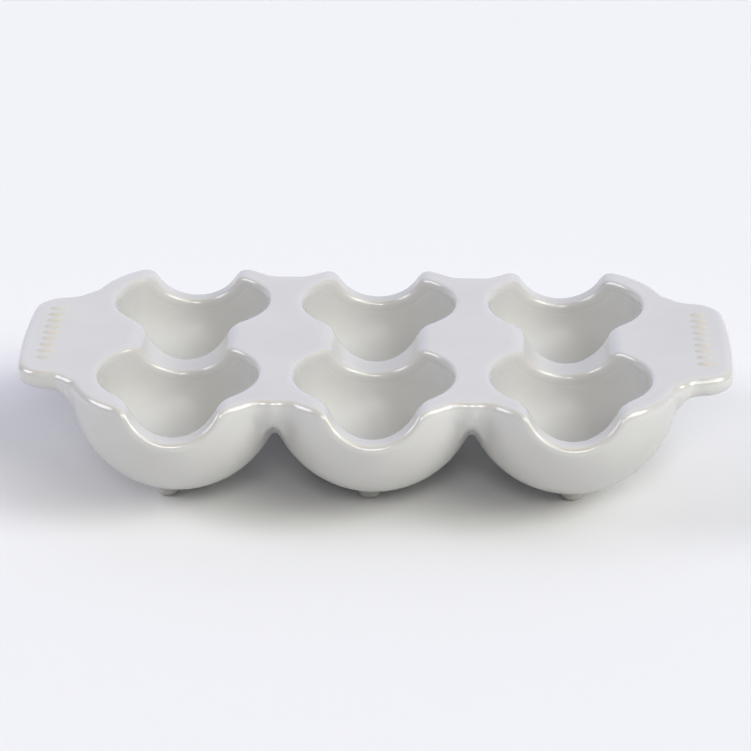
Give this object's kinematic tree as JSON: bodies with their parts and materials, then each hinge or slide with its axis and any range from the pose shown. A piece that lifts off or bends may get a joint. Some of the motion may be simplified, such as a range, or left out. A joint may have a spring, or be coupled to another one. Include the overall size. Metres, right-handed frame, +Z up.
{
  "type": "egg holder tray",
  "caption": "Oblong glazed stoneware tray with round egg wells, finger channels across them, a tab handle at each end and small stub feet.",
  "frame": {"origin": "on the plane that the feet stand on, under the middle of the tray", "axes": "+X along the length from handle to handle, +Y from the front row of wells to the back row, +Z up"},
  "size_m": [0.278, 0.1532, 0.0522],
  "materials": {
    "deck_glaze": "glossy off-white glaze, thin and warm along the edges",
    "bowl_glaze": "glossy off-white glaze"
  },
  "bodies": {
    "root": {"bowl_front_left": "bowl_glaze", "bowl_front_middle": "bowl_glaze", "bowl_front_right": "bowl_glaze", "bowl_back_left": "bowl_glaze", "bowl_back_middle": "bowl_glaze", "bowl_back_right": "bowl_glaze", "bridge_left": "deck_glaze", "bridge_right": "deck_glaze", "end_deck_left": "deck_glaze", "end_deck_right": "deck_glaze", "handle_left": "deck_glaze", "handle_right": "deck_glaze", "foot_front_left": "bowl_glaze", "foot_front_middle": "bowl_glaze", "foot_front_right": "bowl_glaze", "foot_back_left": "bowl_glaze", "foot_back_middle": "bowl_glaze", "foot_back_right": "bowl_glaze", "relief_left": "deck_glaze", "relief_right": "deck_glaze"}
  },
  "joints": []
}
